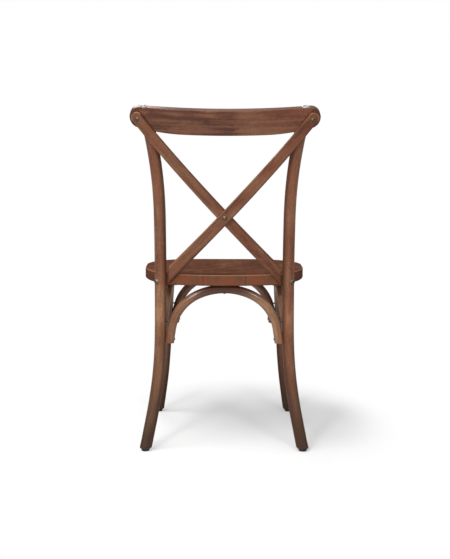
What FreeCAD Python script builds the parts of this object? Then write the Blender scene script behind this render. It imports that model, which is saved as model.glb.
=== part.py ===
import FreeCAD, Part
import math
import os
import Sketcher
from FreeCAD import Placement, Rotation, Vector

# Cross back chair in bent wood. Millimetres, +Z up, the sitter faces -Y and the sitter's left is +X.
# The origin is on the floor under the middle of the chair.

doc = FreeCAD.newDocument("cross_back_chair")
sheet = doc.addObject("Spreadsheet::Sheet", "sizes")

SIZES = {
    # seat panel, glued up from boards that run front to back
    "seat_height": 452.0,
    "seat_thickness": 29.0,
    "seat_half_width": 217.8,
    "seat_depth": 393.5,
    "seat_rear_bow_radius": 420.0,
    "seat_corner_half_width": 157.0,
    "seat_corner_radius": 12.0,
    "seat_shoulder_half_width": 204.7,
    "seat_shoulder_setback": 110.6,
    "seat_side_radius": 256.0,
    "seat_front_corner_radius": 133.0,
    "seat_board_width": 112.0,
    "seat_top_round": 3.0,
    "seat_bottom_round": 4.5,
    "seat_dish_radius": 3000.0,
    "seat_dish_depth": 5.5,
    "seat_behind_posts": 24.0,
    # rear posts, each one bent rod from the floor to the crest rail
    "post_behind": 109.4,
    "post_half_spacing": 168.0,
    "post_diameter": 31.0,
    "post_kick_angle": 18.1,
    "post_kick_length": 300.0,
    "post_splay_angle": 11.3,
    "post_splay_top": 292.0,
    "post_splay_length": 210.0,
    "post_rake_angle": 16.6,
    "post_rake_length": 118.0,
    "post_spread_angle": 11.3,
    "post_spread_bottom": 612.0,
    "post_spread_length": 210.0,
    "post_tenon_diameter": 14.0,
    "post_tenon_length": 26.0,
    "post_notch_clearance": 0.2,
    # front legs
    "leg_diameter": 29.8,
    "leg_half_spacing": 157.2,
    "leg_ahead_of_posts": 326.0,
    "leg_lean_angle": 3.1,
    "leg_rake_angle": 1.7,
    "leg_flare_top": 192.0,
    "leg_flare_length": 130.0,
    "leg_flare_side_angle": 5.6,
    "leg_flare_front_angle": 7.0,
    "leg_tenon_diameter": 20.0,
    "leg_tenon_length": 14.0,
    # crest rail
    "crest_shoulder_height": 835.0,
    "crest_thickness": 22.0,
    "crest_bow_radius": 730.0,
    "crest_end_half_span": 212.0,
    "crest_end_radius": 27.0,
    "crest_height": 64.4,
    "crest_drop": 10.7,
    "crest_flat_half": 100.0,
    "crest_edge_round": 2.0,
    # cross slats
    "slat_width": 27.0,
    "slat_foot_width": 31.2,
    "slat_thickness": 8.6,
    "slat_edge_round": 1.6,
    "slat_top_half_span": 216.0,
    "slat_top_lift": 1.0,
    "slat_screw_below_end": 4.0,
    "slat_foot_half_span": 153.0,
    "slat_foot_height": 443.0,
    "slat_top_side_slope": 0.80,
    "slat_top_back_slope": 0.06,
    "slat_foot_side_slope": 0.97,
    "slat_cross_share": 0.61,
    "slat_contact_half_span": 135.0,
    "slat_trim_half_span": 146.0,
    "slat_trim_above_seat_base": 1.5,
    "slat_seat_gap": 0.3,
    # four bent arches under the seat
    "arch_diameter": 23.5,
    "arch_end_height": 270.0,
    "arch_shoulder_radius": 120.7,
    "arch_crown_half_angle": 24.5,
    "arch_lean_angle": 8.2,
    "arch_leg_bite": 3.6,
    "arch_seat_bite": 1.5,
    "side_arch_inset": 16.0,
    # steel corner brackets
    "bracket_reach": 42.0,
    "bracket_plate": 2.0,
    "bracket_setback": 8.0,
    "bracket_flange": 15.0,
    "bracket_fit": 0.5,
    "bracket_corner": 8.0,
    "bracket_flange_overhang": 2.0,
    "bracket_screw_inset": 13.0,
    # fasteners, whose drives are shares of their heads
    "drive_depth_share": 0.55,
    "hexagon_drive_share": 0.22,
    "cross_drive_blade_share": 0.14,
    "cross_drive_reach_share": 0.30,
    "seat_bolt_diameter": 6.0,
    "seat_bolt_head": 15.5,
    "seat_bolt_head_height": 6.0,
    "seat_bolt_length": 62.0,
    "seat_bolt_below_top": 19.0,
    "seat_bolt_turn": 45.0,
    "seat_bolt_flat": 1.5,
    "barrel_nut_diameter": 10.0,
    "barrel_nut_length": 16.0,
    "slat_screw_diameter": 4.5,
    "slat_screw_head": 11.6,
    "slat_screw_head_height": 3.2,
    "slat_screw_length": 24.0,
    "cross_bolt_diameter": 5.0,
    "cross_bolt_head": 12.6,
    "cross_bolt_head_height": 4.0,
    "cross_nut_diameter": 12.0,
    "cross_nut_height": 5.0,
    "cross_nut_wall": 1.5,
    "arch_screw_diameter": 4.0,
    "arch_screw_head": 8.0,
    "arch_screw_head_height": 2.4,
    "arch_screw_length": 34.0,
    "arch_screw_low": 11.0,
    "arch_screw_high": 57.0,
    "arch_screw_stagger": 7.0,
    "arch_screw_sink": 0.6,
    "bracket_screw_diameter": 4.0,
    "bracket_screw_head": 8.0,
    "bracket_screw_head_height": 2.0,
    "bracket_screw_length": 14.0,
    "slat_dowel_diameter": 6.0,
    "slat_dowel_half_span": 138.0,
    "slat_dowel_in_slat": 5.0,
    "slat_dowel_in_seat": 14.0,
    # trim and feet
    "bumper_diameter": 20.0,
    "bumper_height": 4.2,
    "bumper_half_span": 201.0,
    "foot_tip_diameter": 21.5,
    "foot_taper_angle": 45.0,
    "glide_diameter": 20.5,
    "glide_thickness": 4.0,
    "glide_chamfer": 1.0,
    "glide_nail_diameter": 3.0,
    "glide_nail_head": 7.0,
    "glide_nail_length": 18.0,
    "glide_nail_head_height": 0.8,
    "glide_nail_recess": 1.6,
    "hole_clearance": 0.1,
}

for row, (alias, value) in enumerate(SIZES.items(), start=1):
    sheet.set("A%d" % row, str(value))
    sheet.setAlias("A%d" % row, alias)
doc.recompute()


def dim(alias):
    """A driving size, read from the sheet."""
    return float(sheet.get(alias))


def slope(alias):
    """The slope of an angle that the sheet keeps in degrees."""
    return math.tan(math.radians(dim(alias)))


SEAT_TOP = dim("seat_height")
SEAT_UNDER = SEAT_TOP - dim("seat_thickness")
POST_Y = dim("post_behind")
LEG_Y = POST_Y - dim("leg_ahead_of_posts")
SEAT_REAR_Y = POST_Y + dim("seat_behind_posts")
SEAT_FRONT_Y = SEAT_REAR_Y - dim("seat_depth")
POST_RADIUS = dim("post_diameter") / 2
LEG_RADIUS = dim("leg_diameter") / 2
ARCH_RADIUS = dim("arch_diameter") / 2
GAP = dim("hole_clearance")
UP = Vector(0, 0, 1)
SIDES = {"left": 1, "right": -1}
FAR = 3 * SEAT_TOP
BELOW_FLOOR = -POST_RADIUS

nodes = {}


# Small helpers

def keep(name, feature):
    """Name a finished piece and put it on the list of pieces that are written out."""
    feature.Label = name
    nodes[name] = feature
    return feature


def held_shape(label, shape):
    """A document object that holds a shape made with Part's own functions."""
    feature = doc.addObject("Part::Feature", label)
    place = shape.Placement
    feature.Shape = shape
    feature.Placement = place
    return feature


def cut_away(label, base, tools):
    """Take tools away from a base, one after the other."""
    for number, tool in enumerate(tools, start=1):
        feature = doc.addObject("Part::Cut", "%s_cut_%d" % (label, number))
        feature.Base = base
        feature.Tool = tool
        base = feature
    return base


def shared(label, first, second):
    """Keep what two solids share."""
    feature = doc.addObject("Part::MultiCommon", label)
    feature.Shapes = [first, second]
    return feature


def joined(label, first, second):
    """Make one solid of two that overlap."""
    feature = doc.addObject("Part::MultiFuse", label)
    feature.Shapes = [first, second]
    return feature


def block(label, low, high):
    """A plain cutting block between two corners."""
    feature = doc.addObject("Part::Box", label)
    feature.Length = high.x - low.x
    feature.Width = high.y - low.y
    feature.Height = high.z - low.z
    feature.Placement = Placement(low, Rotation())
    return feature


def rod(label, radius, length, place):
    """A straight cylinder along its own Z, with both sizes tied to the sheet."""
    feature = doc.addObject("Part::Cylinder", label)
    feature.setExpression("Radius", radius)
    feature.setExpression("Height", length)
    feature.Placement = place
    return feature


def along(start, direction):
    """A placement at start whose Z axis runs along direction."""
    return Placement(start, Rotation(UP, direction))


def placed(shape, place):
    """A copy of a shape, moved to a placement."""
    copy = shape.copy()
    copy.Placement = place.multiply(copy.Placement)
    return copy


def new_body(label, place=None):
    """An empty body, placed where its piece belongs."""
    body = doc.addObject("PartDesign::Body", label)
    if place is not None:
        body.Placement = place
    return body


def sketch_on(body, role, label):
    """A sketch on an origin plane of its own body."""
    sketch = body.newObject("Sketcher::SketchObject", label)
    plane = [item for item in body.Origin.OriginFeatures if item.Role == role][0]
    sketch.AttachmentSupport = (plane, [""])
    sketch.MapMode = "FlatFace"
    return sketch


def sketch_at(body, label, place):
    """A sketch at a placement of its own inside the body."""
    sketch = body.newObject("Sketcher::SketchObject", label)
    sketch.Placement = place
    return sketch


def draw(sketch, edges):
    """Add edges to a sketch and tie the ends that meet."""
    sketch.addGeometry(edges, False)
    ends = [(edge, end) for edge in range(len(edges)) for end in (1, 2)]
    for i, first in enumerate(ends):
        for second in ends[i + 1:]:
            near = sketch.getPoint(*first).distanceToPoint(sketch.getPoint(*second)) < 1e-6
            if near and first[0] != second[0]:
                sketch.addConstraint(Sketcher.Constraint("Coincident", *first, *second))


def tie(sketch, constraint, expression):
    """Add a dimension to a sketch and tie it to the sheet."""
    number = sketch.addConstraint(constraint)
    sketch.setExpression("Constraints[%d]" % number, expression)


def tie_radius(sketch, edge, value, expression):
    """Tie the radius of one sketch arc to the sheet."""
    tie(sketch, Sketcher.Constraint("Radius", edge, value), expression)


def draw_disc(sketch, diameter, expression):
    """A circle about the sketch's own centre."""
    sketch.addGeometry(Part.Circle(Vector(), UP, diameter / 2), False)
    sketch.addConstraint(Sketcher.Constraint("Coincident", 0, 3, -1, 1))
    tie(sketch, Sketcher.Constraint("Diameter", 0, diameter), expression)


def line(start, end):
    """A straight sketch edge between two flat points."""
    return Part.LineSegment(Vector(*start, 0), Vector(*end, 0))


def polar(centre, radius, angle):
    """The point at an angle in degrees on a circle."""
    turn = math.radians(angle)
    return (centre[0] + radius * math.cos(turn), centre[1] + radius * math.sin(turn))


def sweep_arc(centre, radius, first, last):
    """A sketch arc about a centre, between two angles in degrees."""
    points = [polar(centre, radius, angle) for angle in (first, (first + last) / 2, last)]
    return Part.Arc(*[Vector(*point, 0) for point in points])


def pad(body, sketch, length, midplane=False, downwards=False):
    """Thicken a sketch, with the length tied to the sheet."""
    feature = body.newObject("PartDesign::Pad", sketch.Name + "_pad")
    feature.Profile = sketch
    feature.Midplane = midplane
    feature.Reversed = downwards
    feature.setExpression("Length", length)
    return feature


def pocket_through(body, sketch, length):
    """Cut a sketch through the body in both directions."""
    feature = body.newObject("PartDesign::Pocket", sketch.Name + "_pocket")
    feature.Profile = sketch
    feature.Midplane = True
    feature.setExpression("Length", length)
    return feature


def edges_at_level(shape, level):
    """The names of the edges of a shape that lie flat at one height."""
    names = []
    for number, edge in enumerate(shape.Edges, start=1):
        box = edge.BoundBox
        if abs(box.ZMin - level) < 0.01 and abs(box.ZMax - level) < 0.01:
            names.append("Edge%d" % number)
    return names


def revolved(edges):
    """A solid of revolution about Z from a closed profile in the XZ plane."""
    return Part.Face(Part.Wire(edges)).revolve(Vector(), UP, 360)


# Bent rods

def bent_offset(height, start, length, steepness):
    """Sideways travel of a rod that bends evenly over a length, and then runs on straight."""
    run = abs(height - start)
    if run < length:
        return steepness * run * run / (2 * length)
    return steepness * (run - length / 2)


def evenly(low, high, count):
    """Heights from low to high in equal runs."""
    return [low + (high - low) * step / count for step in range(count + 1)]


def bent_path(points):
    """A wire of straight runs joined by tangent arcs."""
    arc_share = 0.45
    least_turn = math.radians(0.05)
    edges = []
    start = points[0]
    for before, corner, after in zip(points, points[1:], points[2:]):
        arriving = (corner - before).normalize()
        leaving = (after - corner).normalize()
        turn = arriving.getAngle(leaving)
        if turn < least_turn:
            continue
        reach = arc_share * min((corner - before).Length, (after - corner).Length)
        arc_start = corner - arriving * reach
        arc_end = corner + leaving * reach
        sagitta = reach * math.tan(turn / 4) * math.cos(turn / 2)
        inward = (leaving - arriving).normalize()
        middle = (arc_start + arc_end) * 0.5 - inward * sagitta
        edges.append(Part.LineSegment(start, arc_start).toShape())
        edges.append(Part.Arc(arc_start, middle, arc_end).toShape())
        start = arc_end
    edges.append(Part.LineSegment(start, points[-1]).toShape())
    return Part.Wire(edges)


def bent_rod(label, points, radius):
    """A round rod swept along a bent path."""
    path = held_shape(label + "_path", bent_path(points))
    section = doc.addObject("Part::Circle", label + "_section")
    section.setExpression("Radius", radius)
    section.Placement = along(points[0], points[1] - points[0])
    feature = doc.addObject("Part::Sweep", label)
    feature.Sections = [section]
    feature.Spine = (path, [])
    feature.Solid = True
    return feature


def post_point(side, height):
    """A point on the axis of a rear post. The post stands upright through the seat."""
    back = 0.0
    out = 0.0
    if height < SEAT_UNDER:
        back = bent_offset(height, SEAT_UNDER, dim("post_kick_length"), slope("post_kick_angle"))
    if height > SEAT_TOP:
        back = bent_offset(height, SEAT_TOP, dim("post_rake_length"), slope("post_rake_angle"))
    if height < dim("post_splay_top"):
        splay = slope("post_splay_angle")
        out = bent_offset(height, dim("post_splay_top"), dim("post_splay_length"), splay)
    if height > dim("post_spread_bottom"):
        spread = slope("post_spread_angle")
        out = bent_offset(height, dim("post_spread_bottom"), dim("post_spread_length"), spread)
    return Vector(side * (dim("post_half_spacing") + out), POST_Y + back, height)


def leg_point(side, height):
    """A point on the axis of a front leg."""
    drop = SEAT_UNDER - height
    out = drop * slope("leg_lean_angle")
    ahead = drop * slope("leg_rake_angle")
    top = dim("leg_flare_top")
    length = dim("leg_flare_length")
    if height < top:
        out += bent_offset(height, top, length, slope("leg_flare_side_angle"))
        ahead += bent_offset(height, top, length, slope("leg_flare_front_angle"))
    return Vector(side * (dim("leg_half_spacing") + out), LEG_Y - ahead, height)


# Crest rail. In its own frame Z runs up the raked back, and Y is square to it and points backwards.

def crest_bow(x):
    """How far the middle of the crest rail's thickness lies ahead of its centre at a sideways place."""
    radius = dim("crest_bow_radius")
    return radius - math.sqrt(radius * radius - x * x)


def crest_lean(x):
    """The turn of the bowed crest rail at a sideways place."""
    return math.asin(x / dim("crest_bow_radius"))


def crest_place():
    """The frame of the crest rail, set so that its back is flush with the backs of the posts."""
    turn = Rotation(Vector(1, 0, 0), -dim("post_rake_angle"))
    shoulder = post_point(1, dim("crest_shoulder_height"))
    setback = crest_bow(shoulder.x) + POST_RADIUS - dim("crest_thickness") / 2
    origin = Vector(0, shoulder.y, shoulder.z) + turn.multVec(Vector(0, setback, 0))
    return Placement(origin, turn)


CREST = crest_place()
CREST_TOP = dim("crest_height") - dim("crest_drop")
CREST_END_Z = CREST_TOP - dim("crest_end_radius")


def crest_frame(x, backwards, z):
    """A frame on the bowed crest rail. Its Y axis points out of the back, and its Z axis up."""
    lean = crest_lean(x)
    spot = Vector(x + backwards * math.sin(lean), backwards * math.cos(lean) - crest_bow(x), z)
    return CREST.multiply(Placement(spot, Rotation(UP, -math.degrees(lean))))


def make_crest_outline():
    """A deep block with the crest rail's outline: a straight top, round ends, a lower edge that lifts."""
    end = dim("crest_end_radius")
    span = dim("crest_end_half_span")
    flat = dim("crest_flat_half")
    bottom = -dim("crest_drop")
    rise = dim("crest_height") - 2 * end
    lift_radius = ((span - flat) ** 2 / rise + dim("crest_height")) / 2
    lift_z = bottom + lift_radius
    meet = math.degrees(math.atan2(CREST_END_Z - lift_z, span - flat))
    body = new_body("crest_outline", CREST)
    sketch = sketch_on(body, "XZ_Plane", "crest_outline_sketch")
    draw(sketch, [
        line((-span, CREST_TOP), (span, CREST_TOP)),
        sweep_arc((span, CREST_END_Z), end, 90, meet),
        sweep_arc((flat, lift_z), lift_radius, meet, -90),
        line((flat, bottom), (-flat, bottom)),
        sweep_arc((-flat, lift_z), lift_radius, -90, -180 - meet),
        sweep_arc((-span, CREST_END_Z), end, -180 - meet, -270),
    ])
    for edge in (1, 5):
        tie_radius(sketch, edge, end, "sizes.crest_end_radius")
    pad(body, sketch, "sizes.crest_bow_radius / 3", midplane=True)
    return body


def make_crest_board(outline):
    """The crest rail: a board bent to the bow radius, cut to the outline, with eased edges."""
    radius = dim("crest_bow_radius")
    outer = radius + dim("crest_thickness") / 2
    inner = radius - dim("crest_thickness") / 2
    reach = math.degrees(crest_lean(dim("crest_end_half_span") + 2 * dim("crest_end_radius")))
    first, last = 90 - reach, 90 + reach
    centre = (0, -radius)
    body = new_body("crest_board", CREST)
    sketch = sketch_on(body, "XY_Plane", "crest_board_sketch")
    draw(sketch, [
        sweep_arc(centre, outer, first, last),
        line(polar(centre, outer, last), polar(centre, inner, last)),
        sweep_arc(centre, inner, last, first),
        line(polar(centre, inner, first), polar(centre, outer, first)),
    ])
    tie_radius(sketch, 0, outer, "sizes.crest_bow_radius + sizes.crest_thickness / 2")
    tie_radius(sketch, 2, inner, "sizes.crest_bow_radius - sizes.crest_thickness / 2")
    pad(body, sketch, "4 * sizes.crest_height", midplane=True)
    blank = shared("crest_blank", body, outline)
    doc.recompute()
    eased = doc.addObject("Part::Fillet", "crest_eased")
    eased.Base = blank
    ease = min(dim("crest_edge_round"), dim("crest_thickness") / 3)
    eased.Edges = [(number, ease, ease) for number in range(1, len(blank.Shape.Edges) + 1)]
    return eased


# Cross slats

def seat_rear_y(x):
    """The bowed rear edge of the seat at a sideways place."""
    radius = dim("seat_rear_bow_radius")
    return SEAT_REAR_Y - radius + math.sqrt(radius * radius - x * x)


class SlatLine:
    """The centre line of a cross slat, a smooth curve from the crest rail down to the seat."""

    def __init__(self, side, lift):
        thickness = dim("slat_thickness")
        span = dim("slat_top_half_span")
        behind = (dim("crest_thickness") + thickness) / 2
        top_frame = crest_frame(side * span, behind, CREST_END_Z + dim("slat_top_lift"))
        self.side = side
        self.top = top_frame.Base
        self.top_normal = top_frame.Rotation.multVec(Vector(0, 1, 0))

        contact = dim("slat_contact_half_span")
        lean = math.asin(contact / dim("seat_rear_bow_radius"))
        stand_off = dim("slat_seat_gap") + thickness / 2
        self.foot_normal = Vector(-side * math.sin(lean), math.cos(lean), 0)
        touch = Vector(-side * contact, seat_rear_y(contact), 0) + self.foot_normal * stand_off
        foot_x = dim("slat_foot_half_span")
        foot_y = touch.y - (foot_x - abs(touch.x)) * math.tan(lean)
        self.foot = Vector(-side * foot_x, foot_y, dim("slat_foot_height"))

        share = dim("slat_cross_share")
        shift = Vector(0, lift / (3 * share * (1 - share)), 0)
        third = (self.top.z - self.foot.z) / 3
        foot_slope = dim("slat_foot_side_slope")
        down = Vector(-side * dim("slat_top_side_slope"), -dim("slat_top_back_slope"), -1)
        rise = Vector(side * foot_slope, foot_slope * math.tan(lean), 1)
        self.curve = Part.BezierCurve()
        self.curve.setPoles([
            self.top, self.top + down * third + shift, self.foot + rise * third + shift, self.foot
        ])

    def frame(self, share, further=0.0):
        """A section frame: X across the width, Y out of the back face, Z down along the slat."""
        tangent = self.curve.tangent(share)[0]
        normal = self.top_normal * (1 - share) + self.foot_normal * share
        across = normal.cross(tangent).normalize()
        outward = tangent.cross(across).normalize()
        spot = self.curve.value(share) + tangent * further
        return Placement(spot, Rotation(across, outward, tangent, "ZXY"))

    def crossing(self):
        """The section frame where the slat passes the middle of the chair."""
        low, high = 0.0, 1.0
        for _ in range(50):
            middle = (low + high) / 2
            if self.side * self.curve.value(middle).x > 0:
                low = middle
            else:
                high = middle
        return self.frame(low)


def slat_section(body, label, place, share):
    """One section of a slat, a flat bar with rounded corners that widens towards its foot."""
    x = (dim("slat_width") * (1 - share) + dim("slat_foot_width") * share) / 2
    y = dim("slat_thickness") / 2
    corner = min(dim("slat_edge_round"), y / 1.5)
    sketch = sketch_at(body, label, place)
    draw(sketch, [
        line((-x + corner, -y), (x - corner, -y)),
        sweep_arc((x - corner, -y + corner), corner, -90, 0),
        line((x, -y + corner), (x, y - corner)),
        sweep_arc((x - corner, y - corner), corner, 0, 90),
        line((x - corner, y), (-x + corner, y)),
        sweep_arc((-x + corner, y - corner), corner, 90, 180),
        line((-x, y - corner), (-x, -y + corner)),
        sweep_arc((-x + corner, -y + corner), corner, 180, 270),
    ])
    thickness = Sketcher.Constraint("DistanceY", 0, 1, 4, 1, 2 * y)
    tie(sketch, thickness, "sizes.slat_thickness")
    width = Sketcher.Constraint("DistanceX", 6, 1, 2, 1, 2 * x)
    growth = "(sizes.slat_foot_width - sizes.slat_width)"
    tie(sketch, width, "sizes.slat_width + %s * %s" % (growth, share))
    return sketch


def make_slat_strip(name, slat):
    """A bent and slightly twisted strip with a round top end and a foot trimmed to the seat."""
    overrun = dim("slat_width")
    body = new_body(name + "_strip")
    places = [(0, slat.frame(0, -overrun))]
    places += [(share, slat.frame(share)) for share in evenly(0, 1, 6)]
    places.append((1, slat.frame(1, overrun)))
    sections = [
        slat_section(body, "%s_section_%d" % (name, number), place, share)
        for number, (share, place) in enumerate(places)
    ]
    loft = body.newObject("PartDesign::AdditiveLoft", name + "_loft")
    loft.Profile = sections[0]
    loft.Sections = sections[1:]
    doc.recompute()

    half = dim("slat_width") / 2
    reach = 2 * dim("slat_width")
    end = slat.frame(0)
    across = end.Rotation.multVec(Vector(1, 0, 0))
    outward = end.Rotation.multVec(Vector(0, 1, 0))
    upwards = end.Rotation.multVec(Vector(0, 0, -1))
    round_end = sketch_at(
        body, name + "_round_end", Placement(end.Base, Rotation(across, upwards, outward, "ZXY"))
    )
    draw(round_end, [
        sweep_arc((0, 0), half, 0, 180),
        line((-half, 0), (-reach, 0)),
        line((-reach, 0), (-reach, reach)),
        line((-reach, reach), (reach, reach)),
        line((reach, reach), (reach, 0)),
        line((reach, 0), (half, 0)),
    ])
    tie_radius(round_end, 0, half, "sizes.slat_width / 2")
    pocket_through(body, round_end, "4 * sizes.slat_thickness")
    doc.recompute()

    base = SEAT_UNDER + dim("slat_trim_above_seat_base")
    side_x = -slat.side * dim("slat_trim_half_span")
    far_x = 2 * side_x
    high = base + 5 * dim("slat_width")
    low = base - 5 * dim("slat_width")
    foot = sketch_on(body, "XZ_Plane", name + "_foot_trim")
    corners = [(0, base), (side_x, base), (side_x, high), (far_x, high), (far_x, low), (0, low)]
    draw(foot, [line(*pair) for pair in zip(corners, corners[1:] + corners[:1])])
    pocket_through(body, foot, "4 * sizes.seat_depth")
    return body


# Seat

def seat_plan_side(sign):
    """The edges of one side of the seat's plan, from the rear corner round to the front corner."""
    half = dim("seat_half_width")
    bow_radius = dim("seat_rear_bow_radius")
    bow = Vector(0, SEAT_REAR_Y - bow_radius, 0)
    corner_x = dim("seat_corner_half_width")
    corner = Vector(corner_x, seat_rear_y(corner_x), 0)
    shoulder_y = SEAT_REAR_Y - dim("seat_shoulder_setback")
    shoulder = Vector(dim("seat_shoulder_half_width"), shoulder_y, 0)
    heading = (shoulder - corner).normalize()
    inward = Vector(heading.y, -heading.x, 0)

    radius = dim("seat_corner_radius")
    start = corner + inward * radius - bow
    ahead = start.dot(heading)
    inner = bow_radius - radius
    travel = -ahead - math.sqrt(ahead ** 2 - start.dot(start) + inner ** 2)
    leaves_corner = corner + heading * travel
    corner_centre = leaves_corner + inward * radius
    bow_angle = math.degrees(math.atan2(corner_centre.y - bow.y, corner_centre.x))
    side_angle = math.degrees(math.atan2(-inward.y, -inward.x))

    side_radius = dim("seat_side_radius")
    meet = corner + heading * ((half - corner.x) / heading.x)
    reach = side_radius * math.tan(math.radians(side_angle) / 2)
    joins_side = meet - heading * reach
    side_y = meet.y - reach
    front_radius = dim("seat_front_corner_radius")
    front_y = SEAT_FRONT_Y + front_radius

    def side_arc(x, y, arc_radius, first, last):
        if sign < 0:
            first, last = 180 - first, 180 - last
        return sweep_arc((sign * x, y), arc_radius, first, last)

    def side_line(x, y, end_x, end_y):
        return line((sign * x, y), (sign * end_x, end_y))

    return [
        side_arc(corner_centre.x, corner_centre.y, radius, side_angle, bow_angle),
        side_line(leaves_corner.x, leaves_corner.y, joins_side.x, joins_side.y),
        side_arc(half - side_radius, side_y, side_radius, 0, side_angle),
        side_line(half, side_y, half, front_y),
        side_arc(half - front_radius, front_y, front_radius, -90, 0),
    ], bow_angle


def make_seat_panel():
    """The glued-up seat panel with its rounded upper and lower edges."""
    left, bow_angle = seat_plan_side(1)
    right, bow_angle = seat_plan_side(-1)
    bow_radius = dim("seat_rear_bow_radius")
    front_radius = dim("seat_front_corner_radius")
    front_x = dim("seat_half_width") - front_radius
    front = line((front_x, SEAT_FRONT_Y), (-front_x, SEAT_FRONT_Y))
    bow = sweep_arc((0, SEAT_REAR_Y - bow_radius), bow_radius, bow_angle, 180 - bow_angle)
    body = new_body("seat_panel", Placement(Vector(0, 0, SEAT_UNDER), Rotation()))
    sketch = sketch_on(body, "XY_Plane", "seat_plan")
    draw(sketch, left + right + [front, bow])
    front_corners = (len(left) - 1, len(left) + len(right) - 1)
    for edge in front_corners:
        tie_radius(sketch, edge, front_radius, "sizes.seat_front_corner_radius")
    panel = pad(body, sketch, "sizes.seat_thickness")
    doc.recompute()
    lower = body.newObject("PartDesign::Fillet", "seat_lower_round")
    lower.Base = (panel, edges_at_level(panel.Shape, 0))
    lower.setExpression("Radius", "sizes.seat_bottom_round")
    doc.recompute()
    upper = body.newObject("PartDesign::Fillet", "seat_upper_round")
    upper.Base = (lower, edges_at_level(lower.Shape, dim("seat_thickness")))
    upper.setExpression("Radius", "sizes.seat_top_round")
    return body


def make_dish():
    """A large ball that hollows the top of the seat."""
    ball = doc.addObject("Part::Sphere", "seat_dish_ball")
    ball.setExpression("Radius", "sizes.seat_dish_radius")
    height = SEAT_TOP - dim("seat_dish_depth") + dim("seat_dish_radius")
    middle = (SEAT_REAR_Y + SEAT_FRONT_Y) / 2
    ball.Placement = Placement(Vector(0, middle, height), Rotation())
    return ball


def make_seat_boards(panel):
    """Split the drilled seat panel into its five boards."""
    width = dim("seat_board_width")
    names = ["right_outer", "right_inner", "centre", "left_inner", "left_outer"]
    limits = [-FAR, -1.5 * width, -0.5 * width, 0.5 * width, 1.5 * width, FAR]
    for name, low, high in zip(names, limits, limits[1:]):
        slab = block("seat_slab_" + name, Vector(low, -FAR, 0), Vector(high, FAR, FAR))
        keep("seat_board_" + name, shared("seat_share_" + name, panel, slab))


# Fasteners. Each is drawn pointing up +Z, with its head below the origin.

def dome_profile(radius, height):
    """The arc of a domed head from its crown to its rim."""
    ball = (radius * radius + height * height) / (2 * height)
    half = radius / 2
    middle = ball - math.sqrt(ball * ball - half * half) - height
    return Part.Arc(Vector(0, 0, -height), Vector(half, 0, middle), Vector(radius, 0, 0)).toShape()


def recess(drive, head, head_height):
    """The drive in the crown of a head: a hexagon for bolts and a cross for screws."""
    low = -2 * head_height
    tall = head_height * (1 + dim("drive_depth_share"))
    if drive == "hexagon":
        across = head * dim("hexagon_drive_share")
        corners = [Vector(*polar((0, 0), across, angle), low) for angle in range(0, 361, 60)]
        return Part.Face(Part.makePolygon(corners)).extrude(Vector(0, 0, tall))
    blade = head * dim("cross_drive_blade_share")
    reach = head * dim("cross_drive_reach_share")
    first = Part.makeBox(2 * reach, blade, tall, Vector(-reach, -blade / 2, low))
    second = Part.makeBox(blade, 2 * reach, tall, Vector(-blade / 2, -reach, low))
    return first.fuse(second)


def fastener(kind, length, drive, pointed):
    """A domed fastener of one kind in the sheet, with a drive recess and a pointed or square tip."""
    radius = dim(kind + "_head") / 2
    head_height = dim(kind + "_head_height")
    shank = dim(kind + "_diameter") / 2
    shoulder = length - 2 * shank if pointed else length
    corners = [Vector(radius, 0, 0), Vector(shank, 0, 0), Vector(shank, 0, shoulder)]
    corners += [Vector(0, 0, length), Vector(0, 0, -head_height)]
    edges = [dome_profile(radius, head_height)]
    edges += [Part.makeLine(*pair) for pair in zip(corners, corners[1:])]
    return revolved(edges).cut(recess(drive, 2 * radius, head_height))


def drilling(label, place, diameter, length):
    """A hole for a round shank, with clearance."""
    return held_shape(label, placed(Part.makeCylinder(diameter / 2 + GAP, length + GAP), place))


def screw_set(name, kind, places, drive="cross"):
    """A group of like screws as one node, and for each key the drillings that take its screws."""
    length = dim(kind + "_length")
    shape = fastener(kind, length, drive, pointed=True)
    every = [place for group in places.values() for place in group]
    keep(name, held_shape(name, Part.makeCompound([placed(shape, place) for place in every])))
    head_height = dim(kind + "_head_height")
    hole = Part.makeCylinder(dim(kind + "_diameter") / 2 + GAP, length + GAP)
    seat = Part.makeCylinder(dim(kind + "_head") / 2 + GAP, head_height, Vector(0, 0, -head_height))
    tool = hole.fuse(seat)
    holes = {}
    for key, group in places.items():
        tools = Part.makeCompound([placed(tool, place) for place in group])
        holes[key] = held_shape("%s_drillings_%s" % (name, key), tools)
    return holes


def seat_bolt_place(side):
    """The bolt through a rear post into the seat's corner: its head sits on the outer back."""
    turn = math.radians(dim("seat_bolt_turn"))
    inward = Vector(-side * math.sin(turn), -math.cos(turn), 0)
    axis = post_point(side, SEAT_TOP - dim("seat_bolt_below_top"))
    return along(axis - inward * (POST_RADIUS - dim("seat_bolt_flat")), inward)


def make_seat_bolt(name, place):
    """A furniture bolt, and the hole and flat that it needs."""
    head = dim("seat_bolt_head")
    length = dim("seat_bolt_length")
    shape = fastener("seat_bolt", length, "hexagon", pointed=False)
    keep(name, held_shape(name, placed(shape, place)))
    hole = Part.makeCylinder(dim("seat_bolt_diameter") / 2 + GAP, length + GAP)
    flat = Part.makeCylinder(head / 2 + GAP, head, Vector(0, 0, -head))
    return held_shape(name + "_hole", placed(hole.fuse(flat), place))


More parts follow.
